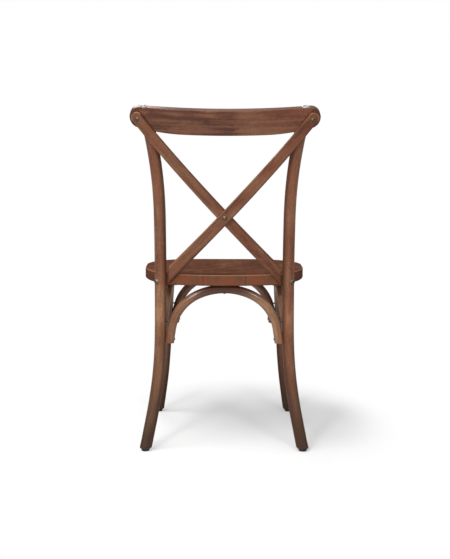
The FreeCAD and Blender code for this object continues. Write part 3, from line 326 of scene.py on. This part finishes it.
def slat_grain(side):
    """Fibres along a cross slat. Side is -1 for the outer slat, which rises to the sitter's right."""

    def grain(x, y, z):
        lift = z - SLAT_MIDDLE
        sideways = cubic(lift, *SLAT_SIDEWAYS)
        backwards = cubic(lift, *SLAT_BACKWARDS) - side * SLAT_HALF_THICKNESS
        across = (x - sideways * side) * SLAT_SLANT
        return across, y - backwards, z / SLAT_SLANT + side * 4.3

    return grain


def seat_grain(x, y, z):
    """Fibres from the back to the front of each seat board, with other growth rings in each board."""
    board = (x / BOARD_WIDTH).sum("ROUND")
    shift = (board * 2.39 + 0.6).sum("SINE")
    across = x - board * BOARD_WIDTH + shift * 0.022
    return across, z - SEAT_UNDERSIDE - board * 0.9, y + board * 1.7


# Places with painted shade or painted highlights, and places whose stain is darker towards the floor,
# redder, darker at the seams or more even

def painted_inner_shade(made, x, y, z):
    """Painted shade on the side of a post or leg that faces its twin."""
    out = parts_of(made.facing)[0] * x.sign() * -1
    return out.step(0.25, 0.90) * 0.75


def low_end(made, x, y, z):
    """The lower part of a post or leg, more so towards the floor."""
    return 1 - z.step(-0.08, 0.37)


def painted_shade_under_seat(made, x, y, z):
    """Painted shade on the side of a leg that faces its twin, and on its top under the seat."""
    return painted_inner_shade(made, x, y, z) + z.step(0.20, 0.36) * 1.7


def painted_shade_arch_crown(made, x, y, z):
    """Painted shade on the top of an arch, close under the seat."""
    return z.step(0.375, 0.415)


def painted_shade_side_arch(made, x, y, z):
    """Painted shade on the very top of a side arch, under the seat, and on its two feet."""
    return z.step(0.402, 0.416) + (1 - z.step(0.30, 0.37)) * 0.7


def crest_painted_shade(made, x, y, z):
    """Painted shade on the crest rail's lower edge, top and round ends, and a painted shadow beside
    each slat.
    """
    height = crest_axes(y, z)[1]
    bottom = 1 - (height - CREST_LOWER_EDGE).step(0.001, 0.016)
    ends = abs(x).step(0.205, 0.238)
    from_slat = abs(leaning(abs(x) - SLAT_TOP_X, z - SLAT_TOP_Z, SLAT_TOP_ANGLE)[0])
    beside_slat = 1 - from_slat.step(0.0132, 0.0190)
    top = parts_of(made.facing)[2].step(0.40, 0.70)
    return (bottom * 0.20 + ends * 0.45 + top * 0.7).most(beside_slat * 0.75)


def crest_red(made, x, y, z):
    """The crest rail is redder towards the sitter's right, and along its top."""
    return (x * -1).step(-0.02, 0.20) * 0.25 + z.step(0.850, 0.885) * 0.2


def slat_rim(side, x, z):
    """The rim of a slat's round top end."""
    out = x * side - SLAT_TOP_X
    up = z - SLAT_TOP_Z
    beyond = leaning(out, up, SLAT_TOP_ANGLE)[1].step(-0.002, 0.003)
    return distance(out, up).step(0.0100, 0.0122) * beyond


def slat_painted_shade(side):
    """Painted shade on the narrow sides and the long edge that face the sitter's right, and on both
    ends of a slat.
    """

    def shade(made, x, y, z):
        across = slat_grain(side)(x, y, z)[0]
        out, back, lift = parts_of(made.facing)
        narrow = (1 - abs(back).step(0.25, 0.60)) * (1 - out.step(-0.20, 0.30))
        edge = (across * -1).step(0.0085, 0.0135)
        ends = z.step(0.80, 0.86) + (1 - z.step(0.43, 0.50))
        return (narrow * 0.4 + edge * 0.6) * (1 - slat_rim(side, x, z)) + ends * 0.2

    return shade


def slat_painted_highlight(side):
    """Painted highlight on the rim of a slat's top end and on its edge on the sitter's left, more so
    on the outer slat.
    """
    edge_light = 0.7 if side < 0 else 0.25

    def painted_highlight(made, x, y, z):
        across = slat_grain(side)(x, y, z)[0]
        return (across.step(0.0105, 0.0130) * edge_light).most(slat_rim(side, x, z) * 0.8)

    return painted_highlight


def seat_seams_and_painted_shade(made, x, y, z):
    """The seams between the seat boards, and painted shade on the seat's sides and over its top,
    deeper in slanting streaks and towards the rear on the sitter's left.
    """
    board = (x / BOARD_WIDTH).sum("ROUND")
    seam = abs(x - board * BOARD_WIDTH).step(BOARD_WIDTH / 2 - 0.0015, BOARD_WIDTH / 2 - 0.0004)
    out, back, lift = parts_of(made.facing)
    streaks = noise(vector_of((x - y) * 26, z * 9, (x + y) * 4)).step(0.38, 0.70)
    rear_left = y.step(0.04, 0.15) * (x + 0.10).step(0.0, 0.12)
    top = lift.step(0.85, 0.98) * (streaks * 0.26 + rear_left * 0.495 + 0.57)
    return (seam * 0.8).most(abs(out).step(0.35, 0.8) * 0.65).most(top)


def seat_rear(made, x, y, z):
    """The rear edge of the seat, where the end grain is filled and even."""
    return parts_of(made.facing)[1].step(0.50, 0.85) * 0.75


def arris_painted_highlight(made, x, y, z):
    """Painted highlight on places whose surface faces partly up and partly outwards."""
    lift = parts_of(made.facing)[2]
    return lift.step(0.25, 0.60) * (1 - lift.step(0.93, 0.99))


def nowhere(made, x, y, z):
    """No place at all."""
    return z * 0


# Finishes

def wood(name, grain, ring=0.0035, pith=(0.021, 0.034), tone=0.0, red=0.45, lacquer=0.3,
         mottle=0.30, gloss=0.17, dark=nowhere, redder=nowhere, painted_highlight=nowhere, even=nowhere,
         lower_tint=nowhere, boards=False):
    """Stained wood under lacquer. Rings run round a pith line beside the piece's middle.

    The seat's boards measure their rings from the seat's underside."""
    made = Finish(name)
    x, y, z = parts_of(made.place)
    axes = across, through, along = grain(x, y, z)
    clouds = lumps(axes, 24, 9, detail=3)
    streaks = lumps(axes, 150, 6, detail=3, rough=0.55)
    fibres = lumps(axes, 1100, 24, rough=0.6)
    specks = lumps(axes, 420, 150, detail=1)
    pores = lumps(axes, 2400, 70, detail=1).step(0.60, 0.70)
    level = z - SEAT_UNDERSIDE if boards else through
    from_pith = distance(across - pith[0], level + pith[1]) + (clouds - 0.5) * 0.014
    rings = (from_pith * (2 * math.pi / ring)).sum("SINE") * 0.5 + 0.5
    shade = streaks * 0.60 + clouds * 1.20 + rings * 0.10 + fibres * 0.20 + specks * mottle
    shade = shade + (tone - 0.550 - mottle / 2)
    shade = shade - (shade - (tone + 0.28)) * even(made, x, y, z)
    stops = ((0.15, DARK), (0.40, BROWN), (0.60, OLIVE), (0.85, TAN))
    colour = shade.node("ValToRGB", {0: shade}, stops=stops)
    warm = noise(vector_of(across * 40 + 9, through * 40, along * 5)).step(0.35, 0.68)
    colour = (warm * red + redder(made, x, y, z)).least(0.9).mix(colour, RED)
    colour = (pores * 0.35).mix(colour, DARK)
    # Posts and legs grow darker towards the floor.
    colour = (lower_tint(made, x, y, z) * (specks * 0.7 + streaks * 0.5 + 0.45)).mix(colour, LOWER_TINT)
    # Painted shade: the dark mask darkens towards DARK, and beyond 0.9 towards the deepest shade
    # colour; on the seat it also draws the dark seams.
    shade_and_seam_amount = dark(made, x, y, z) * (streaks * 0.5 + 0.75)
    colour = shade_and_seam_amount.least(0.92).mix(colour, DARK)
    colour = (shade_and_seam_amount - 0.9).most(0).least(0.8).mix(colour, DEEP_SHADE)
    # Painted highlight: this mask lightens edges towards TAN and thickens the coat there.
    highlight_amount = painted_highlight(made, x, y, z) * (streaks * 0.6 + 0.30)
    return made.close(
        bump=fibres * 0.5 - pores * 0.8 + rings * 0.2,
        depth=0.00012,
        Base_Color=highlight_amount.mix(colour, TAN),
        Roughness=clouds * 0.14 + fibres * 0.12 + 0.40,
        Coat_Weight=clouds * 0.3 * lacquer + lacquer * 0.85 + highlight_amount * 0.15,
        Coat_Roughness=gloss,
        Specular_IOR_Level=0.0,
    )


def metal(name, light, dark, rough):
    """Plated steel, a little uneven, with fine turning marks."""
    made = Finish(name)
    axes = parts_of(made.place)
    patches = lumps(axes, 180, 180, detail=3)
    marks = lumps(axes, 900, 3600, detail=1)
    return made.close(
        bump=marks,
        depth=0.00003,
        Base_Color=patches.step(0.35, 0.7).mix(dark, light),
        Metallic=1.0,
        Roughness=patches * 0.25 + marks * 0.1 + rough,
    )


def nylon(name, light, dark, rough):
    """Moulded nylon with a fine grained skin."""
    made = Finish(name)
    axes = parts_of(made.place)
    skin = lumps(axes, 1500, 1500)
    scuffs = lumps(axes, 130, 260, detail=3)
    return made.close(
        bump=skin,
        depth=0.00005,
        Base_Color=scuffs.step(0.4, 0.7).mix(dark, light),
        Roughness=scuffs * 0.2 + rough,
    )


def clear_plastic(name):
    """Clear soft plastic, slightly cloudy."""
    made = Finish(name)
    haze = lumps(parts_of(made.place), 350, 350)
    return made.close(
        Base_Color=haze.mix((0.62, 0.66, 0.62), (0.80, 0.83, 0.80)),
        Roughness=haze * 0.12 + 0.06,
        Transmission_Weight=0.8,
        IOR=1.46,
    )


def dress(material, *names):
    """Give a finish to every piece whose name starts with one of these words."""
    for name, piece in nodes.items():
        if name.startswith(names):
            for slot in piece.material_slots:
                slot.material = material


def dress_wood():
    """The finishes of the wooden pieces."""
    # The dark masks paint shade, the seat's also its seams; the masks for lightened edges paint
    # highlights.
    dress(wood("post wood", post_grain, tone=0.07, red=0.55, lacquer=0.4, mottle=0.6,
               dark=painted_inner_shade, lower_tint=low_end), "rear_post")
    dress(wood("leg wood", leg_grain, tone=0.06, lacquer=0.2, mottle=0.6,
               dark=painted_shade_under_seat, lower_tint=low_end), "front_leg")
    dress(wood("rear arch wood", rear_arch_grain, tone=0.08, red=0.15, lacquer=0.75, gloss=0.10,
               dark=painted_shade_arch_crown), "arch_rear")
    dress(wood("front arch wood", front_arch_grain, lacquer=0.8, gloss=0.10,
               dark=painted_shade_arch_crown), "arch_front")
    dress(wood("side arch wood", side_arch_grain, tone=0.50, red=0.10, lacquer=0.7, gloss=0.10,
               dark=painted_shade_side_arch), "arch_left", "arch_right")
    dress(wood("crest wood", crest_grain, ring=0.006, tone=-0.17, red=0.12, lacquer=0.45,
               dark=crest_painted_shade, redder=crest_red), "crest_rail")
    for side, name in ((-1, "outer"), (1, "inner")):
        dress(wood(name + " slat wood", slat_grain(side), tone=-0.06, red=0.40,
                   dark=slat_painted_shade(side), painted_highlight=slat_painted_highlight(side)), "cross_slat_" + name)
    dress(wood("seat wood", seat_grain, ring=0.0045, pith=(0.0, 0.045), tone=0.02, red=0.70,
               lacquer=0.04, dark=seat_seams_and_painted_shade, painted_highlight=arris_painted_highlight, even=seat_rear,
               boards=True), "seat_board")
    dress(wood("raw dowel wood", lambda x, y, z: (x, z, y), tone=0.4, red=0.1), "slat_dowels")


def dress_hardware():
    """The finishes of the metal and plastic pieces."""
    dress(metal("bronzed steel", (0.24, 0.19, 0.13), (0.10, 0.075, 0.05), rough=0.28),
          "cross_bolt", "cross_cap_nut", "slat_top_screws", "seat_bolt")
    dress(metal("antique brass plate", (0.26, 0.20, 0.12), (0.09, 0.07, 0.04), rough=0.30),
          "corner_bracket")
    dress(metal("blackened steel", (0.12, 0.105, 0.09), (0.04, 0.034, 0.03), rough=0.32),
          "arch_end_screws", "arch_crown_screws", "bracket_screws")
    dress(metal("yellow zinc plate", (0.58, 0.47, 0.27), (0.42, 0.31, 0.15), rough=0.25),
          "barrel_nut", "glide_nails")
    dress(nylon("black nylon", (0.022, 0.022, 0.022), (0.010, 0.010, 0.011), rough=0.45),
          "foot_glide")
    dress(clear_plastic("clear bumper"), "crest_bumper")


# Studio

def ray_kinds(start):
    """Whether a ray comes from the camera, from gloss, or through something clear."""
    kinds = ("Is Camera Ray", "Is Glossy Ray", "Is Transmission Ray")
    return [start.node("LightPath", output=kind) for kind in kinds]


def make_floor():
    """A white floor that keeps the chair's soft shadow and fades into the white background."""
    bpy.ops.mesh.primitive_circle_add(vertices=96, radius=6, fill_type="NGON")
    floor = bpy.context.object
    floor.name = "studio_floor"
    made = Finish("studio white")
    x, y, z = parts_of(made.place)
    camera, glossy, through = ray_kinds(made.start)
    seen = camera.most(through).most(glossy * 0.5)
    paper = made.start.node("BsdfDiffuse", {"Color": (0.66, 0.66, 0.66, 1)})
    glow = made.start.node("Emission", {"Color": (1, 1, 1, 1), "Strength": 0.23})
    lit = made.start.node("AddShader", {0: paper, 1: glow})
    white = made.start.node("Emission", {"Color": (1, 1, 1, 1), "Strength": 1.0})
    beside = x + 0.06
    behind = y + 0.10
    far = (beside * beside * 2.0 + behind * behind).root().step(0.38, 0.64)
    shown = made.start.node("MixShader", {0: far, 1: lit, 2: white})
    bounce = made.start.node("BsdfDiffuse", {"Color": (0.45, 0.45, 0.45, 1)})
    surface = made.start.node("MixShader", {0: seen, 1: bounce, 2: shown})
    made.start.node("OutputMaterial", {"Surface": surface})
    floor.data.materials.append(made.material)


def make_world():
    """A soft room light, stronger from behind the chair, that gloss sees as a pale ceiling.

    The camera and clear pieces see it white."""
    world = bpy.data.worlds.new("studio")
    bpy.context.scene.world = world
    world.use_nodes = True
    world.node_tree.nodes.clear()
    start = Value(world.node_tree)
    camera, glossy, through = ray_kinds(start)
    out, back, up = parts_of(start.node("TexCoord", output="Generated"))
    seen = camera.most(through)
    ceiling = glossy * up.step(0.15, 0.60) * 0.60
    rear_wall = (1 - glossy) * back.step(0.30, 0.95)
    strength = seen + (1 - seen) * (0.28 + ceiling + rear_wall)
    light = start.node("Background", {"Color": (1, 1, 1, 1), "Strength": strength})
    start.node("OutputWorld", {"Surface": light})


def make_studio():
    """Floor, room light, camera and five lamps, the strongest ones on the sitter's left."""
    bpy.context.scene.view_settings.view_transform = "Standard"
    make_floor()
    make_world()
    place_lamp("left softbox", spot=(1.05, 2.60, 2.00), aim=(0, 0, 0.45), size=0.5, power=28)
    place_lamp("right softbox", spot=(-1.05, 2.60, 2.00), aim=(0, 0, 0.45), size=0.5, power=17)
    place_lamp("side lamp", spot=(1.10, 0.15, 2.50), aim=(0, 0, 0.20), size=0.9, power=20)
    place_lamp("top softbox", spot=(0.55, 0.95, 2.70), aim=(0, 0, 0.40), size=1.3, power=30)
    place_lamp("rim lamp", spot=(0.80, -2.50, 2.20), aim=(0, 0, 0.60), size=0.9, power=14)
    place_camera()


dress_wood()
dress_hardware()
make_studio()
